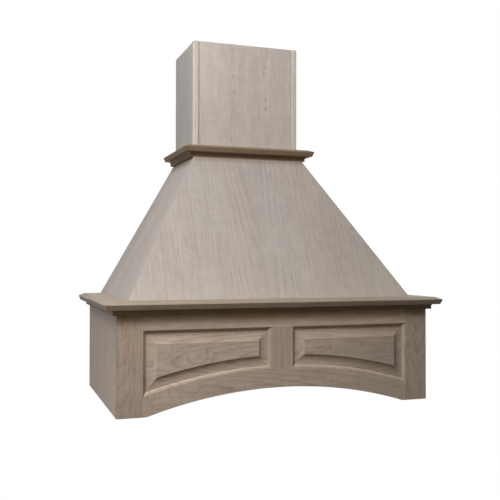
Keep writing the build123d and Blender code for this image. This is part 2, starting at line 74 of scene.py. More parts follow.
# %% [markdown]
# ## Camera
#
# The photograph was taken from the left of the cover and a little below its middle, with almost no tilt.
# A pinhole camera was fitted to the corners of the box, the mouldings and the chimney, and its place,
# heading and focal length are repeated here. The image is a square, so one focal length serves both ways.

# %% Camera
sensor_width = 36.0          # millimetres, as Blender counts lenses
camera_place = Vector((-0.75816, -2.48708, 0.40701))
camera_heading = 0.3315      # radians to the right of the wall's normal
camera_tilt = 0.0146         # radians above the level
camera_roll = 0.0012
focal_in_image_widths = 1.49424

camera_data = bpy.data.cameras.new("camera")
camera_data.sensor_width = sensor_width
camera_data.lens = focal_in_image_widths * sensor_width
camera_data.clip_start = 0.05
camera = bpy.data.objects.new("camera", camera_data)
heading = Matrix.Rotation(-camera_heading, 4, "Z")
tilt = Matrix.Rotation(math.pi / 2 + camera_tilt, 4, "X")
roll = Matrix.Rotation(camera_roll, 4, "Z")
camera.matrix_world = Matrix.Translation(camera_place) @ heading @ tilt @ roll
link(camera)
scene.camera = camera
print("camera lens", round(camera_data.lens, 2), "mm")

# %% [markdown]
# ## Shader nodes in few words
#
# Every finish below is a small network of shader nodes. A few helpers keep those networks short: one
# adds a node and fills its sockets with values or links, and the others add the kinds used most.


# %% Node helpers
def add(tree, kind, sockets=None, **settings):
    """The outputs of a new node: settings are its properties, and sockets get a value or a link."""
    made = tree.nodes.new("ShaderNode" + kind)
    for name, value in settings.items():
        setattr(made, name, value)
    for key, value in (sockets or {}).items():
        if isinstance(value, bpy.types.NodeSocket):
            tree.links.new(value, made.inputs[key])
        else:
            made.inputs[key].default_value = value
    return made.outputs


def maths(tree, operation, *values, clamp=False):
    """The output of a Math node that takes the given numbers or links, in order."""
    return add(tree, "Math", dict(enumerate(values)), operation=operation, use_clamp=clamp)[0]


def vector_maths(tree, operation, *values):
    """The output vector of a Vector Math node."""
    return add(tree, "VectorMath", dict(enumerate(values)), operation=operation)[0]


def number_of(tree, operation, *values):
    """The number that a Vector Math node gives: a LENGTH or a DOT_PRODUCT."""
    return add(tree, "VectorMath", dict(enumerate(values)), operation=operation)["Value"]


def scaled(tree, colour, factor):
    """A colour times a number."""
    return add(tree, "VectorMath", {0: colour, "Scale": factor}, operation="SCALE")[0]


def mixed(tree, share, first, second):
    """A colour between two others."""
    return add(tree, "Mix", {"Factor": share, 6: first, 7: second}, data_type="RGBA")[2]


def stepped(tree, value, low, high, to_low=0.0, to_high=1.0):
    """Smooth step of a value: to_low below low, to_high above high."""
    sockets = {"Value": value, "From Min": low, "From Max": high, "To Min": to_low, "To Max": to_high}
    return add(tree, "MapRange", sockets, interpolation_type="SMOOTHSTEP")[0]


def new_material(name):
    """An empty material, and its tree."""
    material = bpy.data.materials.new(name)
    material.use_nodes = True
    material.node_tree.nodes.clear()
    return material, material.node_tree


# %% [markdown]
# ## Studio
#
# The cover stands alone on white. It hangs at its real height, so the floor is well below it and only its
# soft shadow falls there. The lamps are large squares at the left and in front, because the photographed
# cover is brightest at the left and fades to the right and downwards. Three more, at the right, behind, and
# low down behind, let the other sides be looked at, and hardly reach the faces that the photograph shows.

# %% Lamps
aim_point = Vector((0.0, -0.3, 0.5))
plain_white = (1.0, 1.0, 1.0)
lamps = {                    # place and size in metres, power in watts, colour
    "key": ((-1.3, -1.6, 1.6), 0.8, 22.6, plain_white),
    "key_middle": ((-0.6, -1.6, 1.7), 0.6, 10.5, plain_white),
    "key_top": ((-0.9, -1.1, 2.6), 0.6, 21.0, (0.7, 0.85, 1.0)),
    "front_fill": ((-1.2, -3.0, 0.9), 1.6, 7.7, (1.0, 0.78, 0.4)),
    "low_left": ((-2.6, -0.3, 0.3), 1.2, 8.0, (0.88, 0.97, 1.0)),
    "right_side": ((2.4, 0.5, 1.3), 1.2, 30.0, plain_white),
    "back": ((0.7, 2.6, 1.5), 1.0, 32.0, plain_white),
    "under_back": ((0.3, 1.5, -1.2), 1.0, 12.0, plain_white),
}
for name, (place, size, power, colour) in lamps.items():
    lamp_data = bpy.data.lights.new(name, "AREA")
    lamp_data.shape = "SQUARE"
    lamp_data.size = size
    lamp_data.energy = power
    lamp_data.color = colour
    lamp = bpy.data.objects.new(name, lamp_data)
    lamp.visible_camera = False
    lamp.rotation_mode = "QUATERNION"
    lamp.location = place
    lamp.rotation_quaternion = (Vector(place) - aim_point).to_track_quat("Z", "Y")
    link(lamp)
print("lamps:", ", ".join(lamps))


# %% Background and floor
def seen_directly(tree):
    """1 for a camera, glossy or transmission ray and 0 for light that falls on the object."""
    path = add(tree, "LightPath")
    direct = maths(tree, "MAXIMUM", path["Is Camera Ray"], path["Is Glossy Ray"])
    return maths(tree, "MAXIMUM", direct, path["Is Transmission Ray"])


ambient_colour = (1.0, 0.80, 0.50, 1.0)
ambient_strength = 0.02
world = bpy.data.worlds.new("white studio")
world.use_nodes = True
tree = world.node_tree
tree.nodes.clear()
ambient = add(tree, "Background", {"Color": ambient_colour, "Strength": ambient_strength})
white = add(tree, "Background", {"Color": (*plain_white, 1.0), "Strength": 1.0})
both = add(tree, "MixShader", {0: seen_directly(tree), 1: ambient[0], 2: white[0]})
add(tree, "OutputWorld", {0: both[0]})
scene.world = world

floor_drop = 1.65            # the floor, below the cover's bottom edge
floor_half = 30.0
floor_share = 0.25           # how much of the floor's white is lit by the lamps under the cover
lit_reach = (3.0, 0.8)       # it grows from none to that share between these distances from the middle
floor_mesh = bpy.data.meshes.new("floor")
signs = ((-1, -1), (1, -1), (1, 1), (-1, 1))
floor_mesh.from_pydata([(x * floor_half, y * floor_half, -floor_drop) for x, y in signs], [], [(0, 1, 2, 3)])
floor = bpy.data.objects.new("floor", floor_mesh)
link(floor)
floor_paint, tree = new_material("pale floor")
place = add(tree, "TexCoord")["Object"]
level_place = vector_maths(tree, "MULTIPLY", place, (1.0, 1.0, 0.0))
near = stepped(tree, number_of(tree, "LENGTH", level_place), *lit_reach, 0.0, floor_share)
grey = add(tree, "CombineColor", {0: near, 1: near, 2: near})[0]
lit = add(tree, "BsdfDiffuse", {"Color": grey})
own_white = maths(tree, "MULTIPLY", maths(tree, "SUBTRACT", 1.0, near), seen_directly(tree))
glow = add(tree, "Emission", {"Color": (*plain_white, 1.0), "Strength": own_white})
together = add(tree, "AddShader", {0: lit[0], 1: glow[0]})
add(tree, "OutputMaterial", {"Surface": together[0]})
floor_mesh.materials.append(floor_paint)
floor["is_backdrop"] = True
scene.view_settings.view_transform = "Standard"
print("floor", floor_drop, "m below the cover")

# %% [markdown]
# ## Maple
#
# A board's look comes from how it was sawn out of the tree. The growth rings are long cylinders round the
# heart of the trunk, so a face that cuts them at a slant shows nested pointed arches, and one that cuts
# them square shows straight lines. The network below makes those rings from the distance to a heart line
# that lies behind the board, bends them with slow noise, and adds long fibres, short dark pores, bands
# that shimmer across the grain and slow changes of tone. All of it is one node group that works in the
# board's own directions: X along the grain, Y across the face and Z out of it.

# %% The maple group
maple = bpy.data.node_groups.new("maple", "ShaderNodeTree")
group_inputs = {
    "Board": "Vector",         # place in the board's directions, in metres
    "Heart": "Vector",         # the same, with the heart line as its X axis
    "End": "Float",            # 1 on a sawn end
    "Pale": "Color",
    "Brown": "Color",
    "Ring spacing": "Float",
    "Rings": "Float",          # how strongly the rings show
    "Fibres": "Float",
    "Wander": "Float",         # how far the rings stray
    "Swirl": "Float",          # metres that a small knot pushes the rings aside
    "Flecks": "Float",         # how many of the dark dashes show
}
for name, kind in group_inputs.items():
    maple.interface.new_socket(name, in_out="INPUT", socket_type="NodeSocket" + kind)
for name, kind in (("Color", "Color"), ("Roughness", "Float"), ("Height", "Float")):
    maple.interface.new_socket(name, in_out="OUTPUT", socket_type="NodeSocket" + kind)
given = maple.nodes.new("NodeGroupInput").outputs


def plus(first, second, clamp=False):
    """A sum in the maple group."""
    return maths(maple, "ADD", first, second, clamp=clamp)


def times(first, second):
    """A product in the maple group."""
    return maths(maple, "MULTIPLY", first, second)


def noise(stretch, detail=2.0, roughness=0.5):
    """Noise of the board's place times stretch: a large number along an axis means short spots along it."""
    place = vector_maths(maple, "MULTIPLY", given["Board"], stretch)
    sockets = {"Vector": place, "Scale": 1.0, "Detail": detail, "Roughness": roughness}
    return add(maple, "TexNoise", sockets)


def wobble(stretch, amount):
    """Noise that leans to no side, times an amount for each axis."""
    even = vector_maths(maple, "SUBTRACT", noise(stretch)["Color"], (0.5, 0.5, 0.5))
    return vector_maths(maple, "MULTIPLY", even, amount)


def maple_rings():
    """Bright to dark across each ring: the distance to the heart, bent by noise, over the spacing."""
    wander = add(maple, "CombineXYZ", {1: given["Wander"], 2: given["Wander"]})[0]
    strayed = vector_maths(maple, "ADD", given["Heart"], wobble((1.1, 7.0, 7.0), wander))
    bent = vector_maths(maple, "ADD", strayed, wobble((9.0, 90.0, 90.0), (0.0, 2.4 * mm, 2.4 * mm)))
    from_heart = vector_maths(maple, "MULTIPLY", bent, (0.0, 1.0, 1.0))
    radius = plus(number_of(maple, "LENGTH", from_heart), given["Swirl"])
    count = maths(maple, "DIVIDE", radius, given["Ring spacing"])
    year = add(maple, "TexNoise", {"W": times(count, 0.4), "Scale": 1.0}, noise_dimensions="1D")[0]
    phase = maths(maple, "FRACT", plus(count, times(year, 1.5)))
    late = maths(maple, "POWER", phase, 3.2)
    soft_edge = stepped(maple, phase, 1.0, 0.86)
    uneven = stepped(maple, noise((2.5, 14.0, 14.0))[0], 0.30, 0.60)
    return times(times(late, soft_edge), uneven)


rings = maple_rings()
print("maple rings made with", len(maple.nodes), "nodes")

# %% [markdown]
# The fibres are noise drawn out along the grain, in three widths, and the pores are the rare peaks of
# still finer noise. Maple also has short dark dashes where sap has dried in the wood; they come in loose
# groups. The colour starts pale and goes towards brown where any of these is strong, and drifts slowly
# between pink and a greenish grey. Sawn ends drink in light: they are darker and rougher. The same values
# give a very shallow bump, because a sanded face is almost flat, but late wood stands a little proud.

# %% Fibres, pores, flecks, tone and the group's outputs
broad_fibre = noise((3.2, 44.0, 44.0), 2.0, 0.55)[0]
coarse_fibre = noise((15.0, 150.0, 150.0), 3.0, 0.62)[0]
fine_fibre = noise((40.0, 560.0, 560.0), 2.0, 0.6)[0]
pores = stepped(maple, noise((110.0, 2200.0, 2200.0), 1.0)[0], 0.62, 0.74)
dashes = stepped(maple, noise((75.0, 260.0, 260.0), 1.0)[0], 0.55, 0.68)
grouped = plus(times(stepped(maple, noise((9.0, 30.0, 30.0), 1.0)[0], 0.42, 0.60), 0.65), 0.35)
flecks = times(times(dashes, grouped), given["Flecks"])
pore_brown, end_brown = 0.10, 0.5
end_darker, end_rougher = 0.12, 0.12
fibres = plus(stepped(maple, coarse_fibre, 0.36, 0.68), times(stepped(maple, broad_fibre, 0.35, 0.68), 0.5))
fibres = plus(fibres, times(stepped(maple, fine_fibre, 0.35, 0.70), 0.35))
darkness = plus(times(rings, given["Rings"]), times(fibres, given["Fibres"]))
darkness = plus(plus(darkness, times(pores, pore_brown)), flecks)
darkness = plus(darkness, times(given["End"], end_brown), clamp=True)
drift = stepped(maple, noise((0.9, 9.0, 9.0), 1.0)[0], 0.32, 0.68)
drifted = add(maple, "Mix", {"Factor": drift, 4: (1.015, 0.997, 0.990), 5: (0.985, 1.003, 1.007)},
              data_type="VECTOR")[1]
wood_colour = vector_maths(maple, "MULTIPLY", mixed(maple, darkness, given["Pale"], given["Brown"]), drifted)
cloud = stepped(maple, noise((1.3, 6.0, 6.0))[0], 0.3, 0.7, 0.96, 1.04)
shimmer = stepped(maple, noise((45.0, 26.0, 26.0))[0], 0.3, 0.7, -0.03, 0.03)
lightness = times(plus(cloud, shimmer), maths(maple, "SUBTRACT", 1.0, times(given["End"], end_darker)))
tinted = scaled(maple, wood_colour, lightness)
roughness = plus(stepped(maple, fine_fibre, 0.3, 0.7, 0.60, 0.70), times(given["End"], end_rougher))
height = plus(times(rings, 0.35), maths(maple, "SUBTRACT", times(fine_fibre, 0.8), times(pores, 0.6)))
result = maple.nodes.new("NodeGroupOutput")
for name, value in (("Color", tinted), ("Roughness", roughness), ("Height", height)):
    maple.links.new(value, result.inputs[name])
print("maple group has", len(maple.nodes), "nodes")

# %% [markdown]
# ## A board's own finish
#
# Each piece is sawn from another board, so each gets its own material: the same group, but with the
# grain along that piece, the heart line at its own place behind the face, and its own stretch of wood.
# Plywood pieces show their veneers as stripes on the edges. A Bevel node bends the normal close to an
# arris, and where the bent normal leaves the true one the wood is handled smooth and a little paler.

# %% Wood tones
tones = {                    # the pale wood of each kind of board
    "veneer": (0.565, 0.497, 0.450),
    # Painted shade: the chimney's left side takes a darker, greyer copy of the veneer.
    "grey veneer": (0.500, 0.462, 0.432),
    "taper": (0.485, 0.423, 0.380),
    "post": (0.625, 0.566, 0.505),
    "side": (0.640, 0.540, 0.465),
    "frame": (0.585, 0.485, 0.412),
    "field": (0.590, 0.495, 0.430),
    # Painted shade: the mantel and collar tones are much darker than the other maple, for the mouldings'
    # faces that look down; the deck and collar frame boards share them.
    "mantel": (0.365, 0.298, 0.238),
    "collar": (0.270, 0.190, 0.130),
    "inside": (0.560, 0.460, 0.370),
}
late_share = (0.66, 0.58, 0.52)   # the brown of late wood and fibres, as a share of the pale
ply_core_colour = (0.36, 0.26, 0.17, 1.0)
X, Y, Z = axes = Vector((1, 0, 0)), Vector((0, 1, 0)), Vector((0, 0, 1))    # right, back and up
random = np.random.default_rng(36)    # gives each board its own stretch of wood
bevel_radius = 1.2 * mm      # as far as this from an arris the wood is handled smooth
worn_paler, worn_smoother = 0.06, 0.12
bare_wood_shine = 0.12
grain_relief, relief_strength = 0.12 * mm, 0.6
crossed_layer_brown = 0.55
common_flecks = 0.12         # dark dashes where no line of them runs


def node_points(node):
    """The corners of a node's mesh in the frame, as rows of x, y and z."""
    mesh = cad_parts[node].data
    points = np.zeros(len(mesh.vertices) * 3)
    mesh.vertices.foreach_get("co", points)
    return points.reshape(-1, 3)


def face_centre(node, face):
    """The middle of a node's box, moved along the face's normal to the node's outermost point."""
    points = node_points(node)
    middle = Vector((points.min(0) + points.max(0)) / 2)
    return middle + face * (float((points @ np.array(face)).max()) - middle.dot(face))


def board_rotation(along, face):
    """Turns a place into board directions: the rows are the grain, the way across and the face."""
    along = along.normalized()
    face = (face - along * face.dot(along)).normalized()
    return Matrix((along, face.cross(along), face))


def swirls(tree, board, knots):
    """Metres that small knots push the rings: each is a smooth hill round its own place on the face. A knot
    is its place along and across, its reach and its push, in millimetres."""
    pushed = 0.0
    for knot in knots:
        along, across, reach, push = (value * mm for value in knot)
        away = vector_maths(tree, "SUBTRACT", board, (along, across, 0.0))
        away = number_of(tree, "LENGTH", vector_maths(tree, "MULTIPLY", away, (0.6, 1.0, 0.0)))
        pushed = maths(tree, "ADD", stepped(tree, away, reach, 0.0, 0.0, push), pushed)
    return pushed


def fleck_columns(tree, across, columns):
    """How strongly dark dashes show: a little everywhere, and more along some lines of the grain. A line is
    its place across and its half width, in millimetres, and its strength."""
    total = common_flecks
    for place, half_width, strength in columns:
        away = maths(tree, "ABSOLUTE", maths(tree, "SUBTRACT", across, place * mm))
        total = maths(tree, "ADD", stepped(tree, away, half_width * mm, 0.0, 0.0, strength), total)
    return total


def wood(node, tone, along, face, heart, lean=0.03, spacing=4.5, rings_show=0.35, fibres_show=0.32,
         wander=12, sheet=None, knots=(), columns=(), shade=1.0, fade=0.0):
    """Maple for one piece, with sizes in millimetres. heart is the heart line's place across the face and
    behind it, and lean is how fast that line nears the face along the grain. shade is how
    pale the board is, partly its own tone and partly painted light and shade, and fade is the share
    by which it darkens with each metre along the grain: a painted fall-off of the light."""
    material, tree = new_material(node + " maple")
    coordinates = add(tree, "TexCoord")
    turned = board_rotation(along, face)
    board = add(tree, "Mapping", {"Vector": coordinates["Object"], "Rotation": turned.to_euler(),
                                  "Location": turned @ -face_centre(node, face)})[0]
    grain = vector_maths(tree, "ADD", board, tuple(random.uniform(-3.0, 3.0, 3)))
    parts = add(tree, "SeparateXYZ", {0: board})
    sideways, behind = heart
    depth = maths(tree, "ADD", maths(tree, "MULTIPLY", parts[0], -lean), behind * mm)
    sunk = add(tree, "CombineXYZ", {1: -sideways * mm, 2: depth})[0]
    toward_end = number_of(tree, "DOT_PRODUCT", coordinates["Normal"], along)
    end = stepped(tree, maths(tree, "ABSOLUTE", toward_end), 0.55, 0.85)
    # The pale wood is scaled by a factor that is partly the board's own tone and partly painted light and
    # shade.
    pale = [value * shade for value in tones[tone]]
    brown = [value * share for value, share in zip(pale, late_share)]
    body = add(tree, "Group", {
        "Board": grain, "Heart": vector_maths(tree, "ADD", board, sunk), "End": end, "Pale": (*pale, 1.0),
        "Brown": (*brown, 1.0), "Ring spacing": spacing * mm, "Rings": rings_show, "Fibres": fibres_show,
        "Wander": wander * mm, "Swirl": swirls(tree, board, knots),
        "Flecks": fleck_columns(tree, parts[1], columns)}, node_tree=maple)
    colour = body["Color"]
    # Painted shade: the colour darkens along the grain, where less light reaches the board.
    if fade:
        colour = scaled(tree, colour, maths(tree, "MULTIPLY_ADD", parts[0], -fade, 1.0))
    if sheet is not None:
        colour = plywood_edges(tree, colour, coordinates, face, *sheet)
    bent_normal = add(tree, "Bevel", {"Radius": bevel_radius}, samples=4)[0]
    alike = number_of(tree, "DOT_PRODUCT", add(tree, "NewGeometry")["Normal"], bent_normal)
    worn = stepped(tree, alike, 0.995, 0.80)
    colour = scaled(tree, colour, maths(tree, "ADD", 1.0, maths(tree, "MULTIPLY", worn, worn_paler)))
    rough = maths(tree, "SUBTRACT", body["Roughness"], maths(tree, "MULTIPLY", worn, worn_smoother))
    relief = add(tree, "Bump", {"Height": body["Height"], "Distance": grain_relief,
                                "Strength": relief_strength})
    shader = add(tree, "BsdfPrincipled", {"Base Color": colour, "Roughness": rough,
                                          "Normal": relief[0], "Specular IOR Level": bare_wood_shine})
    add(tree, "OutputMaterial", {"Surface": shader[0]})
    return material


def plywood_edges(tree, colour, coordinates, face, thickness, layers, front):
    """Stripes where the normal is square to the face: every second layer is darker end grain."""
    face = face.normalized()
    toward_face = number_of(tree, "DOT_PRODUCT", coordinates["Normal"], face)
    edge = stepped(tree, maths(tree, "ABSOLUTE", toward_face), 0.75, 0.45)
    depth = maths(tree, "SUBTRACT", front, number_of(tree, "DOT_PRODUCT", coordinates["Object"], face))
    layer = maths(tree, "MULTIPLY", maths(tree, "DIVIDE", depth, thickness), layers / 2)
    crossed = stepped(tree, maths(tree, "PINGPONG", layer, 0.5), 0.235, 0.265, 0.0, crossed_layer_brown)
    return mixed(tree, maths(tree, "MULTIPLY", crossed, edge), colour, ply_core_colour)


print("tones:", ", ".join(tones))

# %% [markdown]
# ## Surfaces from sections
#
# Nearly every piece here is a section carried along a line, as a moulding cutter or a saw would leave it.
# A section is a closed outline whose corners are rounded by small arcs, because a sanded arris is never
# sharp. The surface is then a grid: one row of points for each station along the piece.


# %% Outline and surface helpers
def rounded(corners, radii, steps):
    """A closed outline with rounded corners, in two or three dimensions.

    An arc of radius r in a corner of angle 2h starts r / tan(h) from the corner on both sides, and its
    centre lies r / sin(h) from the corner on the bisector. Its points turn evenly from one side to the
    other. A radius of 0 keeps the corner as one point."""
    corners = np.asarray(corners, float)
    pieces = []
    for corner, before, after, radius in zip(corners, np.roll(corners, 1, 0), np.roll(corners, -1, 0), radii):
        if radius == 0:
            pieces.append(corner[None])
            continue
        back = (before - corner) / np.linalg.norm(before - corner)
        ahead = (after - corner) / np.linalg.norm(after - corner)
        half = math.acos(np.clip(back @ ahead, -1, 1)) / 2
        centre = corner + (back + ahead) / np.linalg.norm(back + ahead) * radius / math.sin(half)
        start = corner + back * radius / math.tan(half) - centre
        end = corner + ahead * radius / math.tan(half) - centre
        whole = math.pi - 2 * half
        share = np.linspace(0, 1, steps + 1)[:, None]
        arc = np.sin((1 - share) * whole) * start + np.sin(share * whole) * end
        pieces.append(centre + arc / math.sin(whole))
    return np.vstack(pieces)


def in_space(x, y, z):
    """Points from x, y and z, each of them a number or an array."""
    return np.stack(np.broadcast_arrays(x, y, z), -1)


def arc_radius(half_chord, height):
    """The radius of an arc of a given height over half its chord: (c c + h h) / (2 h)."""
    return (half_chord**2 + height**2) / (2 * height)


profile_steps = 6            # spans in each arc of a moulding's or a post's outline
sharp_from = math.radians(38)


def bands(index):
    """Four-cornered faces between the rows of a grid of point numbers, closed round each row."""
    here, there = index[:-1], index[1:]
    return np.stack([here, np.roll(here, -1, 1), np.roll(there, -1, 1), there], -1).reshape(-1, 4)


def add_piece(node, ending, vertices, faces, material):
    """A closed piece that stands for a node of the frame, with its faces turned outward."""
    mesh = bpy.data.meshes.new(node + ending)
    mesh.from_pydata(vertices.tolist(), [], faces)
    shell = bmesh.new()
    shell.from_mesh(mesh)
    bmesh.ops.recalc_face_normals(shell, faces=shell.faces)
    shell.to_mesh(mesh)
    shell.free()
    mesh.shade_smooth()
    mesh.set_sharp_from_angle(angle=sharp_from)
    mesh.materials.append(material)
    piece = bpy.data.objects.new(node + ending, mesh)
    link(piece)
    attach(piece, "root")
    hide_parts(node)
    return piece


def carried(node, rings, *kind, sharp_columns=(), **figure):
    """A board or moulding from an array of stations by points, with a flat face on each end and its own
    maple. The edges that join the points of a sharp column are mitres, which shading doesn't smooth."""
    stations, points = rings.shape[:2]
    index = np.arange(stations * points).reshape(stations, points)
    faces = bands(index).tolist() + [index[0].tolist(), index[-1].tolist()]
    piece = add_piece(node, "_wood", rings.reshape(-1, 3), faces, wood(node, *kind, **figure))
    if len(sharp_columns):
        mesh = piece.data
        ends = np.zeros(len(mesh.edges) * 2, int)
        mesh.edges.foreach_get("vertices", ends)
        column = ends.reshape(-1, 2) % points
        mitre = (column[:, 0] == column[:, 1]) & np.isin(column[:, 0], sharp_columns)
        sharp = np.zeros(len(mesh.edges), bool)
        mesh.attributes["sharp_edge"].data.foreach_get("value", sharp)
        mesh.attributes["sharp_edge"].data.foreach_set("value", sharp | mitre)
    flat = piece.modifiers.new("flat faces stay flat", "WEIGHTED_NORMAL")
    flat.keep_sharp = True


# %% [markdown]
# ## Face frame
#
# The frame's inner edges are moulded: a small step, then a quarter round that drops to the groove where
# the panel's tongue sits. Stiles run through and rails are coped over them, so a rail's moulded points
# each end where the stile's moulding is equally deep. That gives the mitre line in every corner.

# %% Sizes of the face frame
sticking_width = 7.0 * mm
sticking_step = 3.0 * mm
sticking_flat = 0.5 * mm
sticking_round_depth = 7.6 * mm
groove_front = 8.7 * mm
groove_back = 15.05 * mm
arris = 0.7 * mm
fine_arris = 0.25 * mm

stile_low, stile_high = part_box("left_end_stile")
frame_front = stile_low.y
frame_thickness = stile_high.y - stile_low.y
half_width = -stile_low.x
box_top = stile_high.z
opening_half = -stile_high.x + sticking_width
opening_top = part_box("top_rail")[0].z + sticking_width
centre_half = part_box("centre_stile")[1].x - sticking_width
arched_rail_width = 53.7 * mm
arch_foot = 9.1 * mm
arch_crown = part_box("arched_bottom_rail")[1].z - sticking_width - arched_rail_width
arch_span = opening_half - arch_foot
arch_radius = arc_radius(arch_span, arch_crown)
arch_centre = arch_crown - arch_radius
opening_radius = arch_radius + arched_rail_width
print("opening half and top", round(opening_half, 4), round(opening_top, 4), "arch", round(arch_radius, 4))


def moulded_edge(steps=10):
    """(distance into the opening, depth) from the face's edge to the frame's back.

    The round leaves the small flat level and drops as a circle: r - root(r r - x x) at the distance x."""
    width = sticking_width - sticking_flat
    radius = arc_radius(width, sticking_round_depth - sticking_step)
    across = np.linspace(0, width, steps + 1)
    depth = sticking_step + radius - np.sqrt(radius**2 - across**2)
    curve = np.column_stack([sticking_flat + across, depth])
    return np.vstack([[(0, 0), (0, sticking_step)], curve,
                      [(sticking_width, groove_front), (0, groove_front), (0, groove_back),
                       (sticking_width, groove_back), (sticking_width, frame_thickness)]])


def member_section(width):
    """A stile's or rail's section: an outer edge with eased arrises, then the moulded inner edge."""
    outer = rounded([(-width, frame_thickness), (-width, 0), (0, 0)], [fine_arris, arris, 0], 3)
    return np.vstack([outer[:-1], moulded_edge()])


def coped_end(out, depth):
    """How far short of its neighbour's edge each point of a section ends: in front of the groove as far as
    it stands out into the opening, and by the whole moulding behind."""
    return np.where(depth > groove_back - fine_arris, sticking_width, np.clip(out, 0, None))


# %% [markdown]
# Stiles are carried upwards with the grain upright. Each rail is carried from end to end, and the arched
# one follows circles that share the arch's centre, except at its two short flat feet.

# %% Stiles and rails
out, depth = member_section(half_width - opening_half).T
# Painted shade: the left stile darkens downwards and the right stile is darker, where less light reaches,
# partly each board's own tone.
left_figure = dict(heart=(30, 40), rings_show=0.6, fibres_show=0.4, shade=0.98, fade=-0.2,
                   knots=[(-46, -17, 26, 9)])
right_figure = dict(heart=(-10, 40), rings_show=0.65, shade=0.92, knots=[(24, 13, 24, 14)])
for side, node, figure in ((-1, "left_end_stile", left_figure), (1, "right_end_stile", right_figure)):
    stations = in_space(side * (opening_half - out), frame_front + depth, [[stile_low.z], [stile_high.z]])
    carried(node, stations, "frame", Z, -Y, lean=0.16, spacing=8, **figure)

out, depth = member_section(box_top - opening_top).T
ends = opening_half - coped_end(out, depth)
stations = in_space([-ends, ends], frame_front + depth, opening_top - out)
# Painted light: the top rail is made paler, lifting the mantel moulding's shadow on it.
carried("top_rail", stations, "frame", X, -Y, heart=(90, 60), lean=0.02, shade=1.14)


def arc_height(radius, x):
    """Height above the bottom edge of a circle round the arch's centre: centre + root(r r - x x)."""
    return arch_centre + np.sqrt(radius**2 - x**2)


out, depth = member_section(arched_rail_width).T
ends = opening_half - coped_end(out, depth)
foot_share = arch_span / opening_half
arch_stations = 97
share = np.concatenate([[-1.0], np.linspace(-foot_share, foot_share, arch_stations), [1.0]])
x = share[:, None] * ends
z = np.maximum(arc_height(opening_radius + out, x), arched_rail_width + out)
stations = in_space(x, frame_front + depth, z)
# Painted shade: the arched rail darkens towards the right, where less light reaches.
carried("arched_bottom_rail", stations, "frame", X, -Y, heart=(-5, 42), lean=-0.09, spacing=8,
        rings_show=0.8, wander=26, shade=1.03, fade=0.16, knots=[(-343, -5, 30, 14), (-262, 4, 30, 12)])

# %% [markdown]
# The middle stile is moulded on both edges. Its head is coped over the top rail and its foot over the
# arched one, so its face ends on the arc. Points along the face let the foot follow that curve.

# %% Middle stile
edge = moulded_edge()
right_edge = np.column_stack([centre_half + edge[:, 0], edge[:, 1]])
left_edge = right_edge[::-1] * (-1, 1)
foot_points = 9
across = np.linspace(-centre_half, centre_half, foot_points)
face_points = np.column_stack([across[1:-1], 0 * across[1:-1]])
back_points = np.column_stack([across[::-1], np.full(foot_points, frame_thickness)])
middle_section = np.vstack([left_edge, face_points, right_edge, back_points])
x, depth = middle_section.T
reach = coped_end(np.abs(x) - centre_half, depth)
foot = arc_height(opening_radius + reach, x)
stations = in_space(x, frame_front + depth, [foot, opening_top - reach])
carried("centre_stile", stations, "frame", Z, -Y, heart=(30, 50), lean=0.05)

# %% [markdown]
# ## Raised panels
#
# Each panel floats in the groove by a flat tongue. Inside it a cove rises to a square step, and the
# field stands almost level with the frame. The surface is the cutter's profile carried round the panel's
# outline: ring after ring, each a little further in, with a mitre in every corner.

# %% Raised panels
panel_gap = 1.5 * mm
tongue_front = 8.8 * mm
tongue_back = 14.95 * mm
field_margin = 36.0 * mm
cove_width = 24.0 * mm
field_depth = 0.4 * mm
step_depth = 1.6 * mm
arc_points = 49


def panel_profile(steps=12):
    """(distance from the frame's edge, depth) from the tongue's back to the field.

    The cove leaves the tongue level and rises as a circle: r - root(r r - x x) at the distance x."""
    radius = arc_radius(cove_width, tongue_front - field_depth - step_depth)
    across = np.linspace(0, cove_width, steps + 1)
    depth = tongue_front - radius + np.sqrt(radius**2 - across**2)
    cove = np.column_stack([field_margin - cove_width + across, depth])
    return np.vstack([[(panel_gap, tongue_back), (panel_gap, tongue_front)], cove,
                      [(field_margin, field_depth + fine_arris),
                       (field_margin + 0.3 * fine_arris, field_depth + 0.3 * fine_arris),
                       (field_margin + fine_arris, field_depth)]])


def panel_ring(margin, depth, side):
    """The panel's outline, drawn in by a margin: over the top, down the inner side and out along the arc."""
    outer, inner = side * (opening_half - margin), side * (centre_half + margin)
    top = opening_top - margin
    along = np.linspace(inner, outer, arc_points)
    x = np.concatenate([[outer, inner], along])
    z = np.concatenate([[top, top], arc_height(opening_radius + margin, along)])
    return in_space(x, frame_front + depth, z)


corner_columns = [0, 1, 2, arc_points + 1]
# Painted light and shade: the left panel is paler and the right one darkens towards the right as the light
# falls off, partly their own tone.
left_figure = dict(heart=(6, 38), lean=0.10, rings_show=0.8, wander=28, shade=1.08,
                   knots=[(-123, 26, 26, 18), (-25, 9, 30, 14)])
right_figure = dict(heart=(24, 45), lean=-0.08, rings_show=0.75, wander=26, fade=0.6,
                    knots=[(-95, 31, 26, -14)])
for side, node, figure in ((-1, "left_raised_panel", left_figure), (1, "right_raised_panel", right_figure)):
    stations = np.stack([panel_ring(margin, depth, side) for margin, depth in panel_profile()])
    carried(node, stations, "field", X, -Y, spacing=8, sharp_columns=corner_columns, **figure)
print("raised panels of", stations.shape[0], "rings")

# %% [markdown]
# ## Cap mouldings
#
# The mantel and the collar are the same moulding: a flat foot, a cove, a soffit, a slanting face with a
# rounded nose, and a top that falls gently to that nose. Lengths meet in mitres at the front corners,
# so every point of the section ends as far out as it stands from the wall behind it.

# %% Cap moulding
cap_corners = np.array([(0, 0), (11.5, 0), (11.5, 14.4), (30, 14.4), (35.9, 28.7), (19, 35.4),
                        (0, 35.4)]) * mm
cap_radii = np.array([0.3, 0.5, 6.5, 0.6, 2.2, 0.6, 0.3]) * mm
fitting_width = 0.25 * mm    # the back changes from one fit to the other within this length


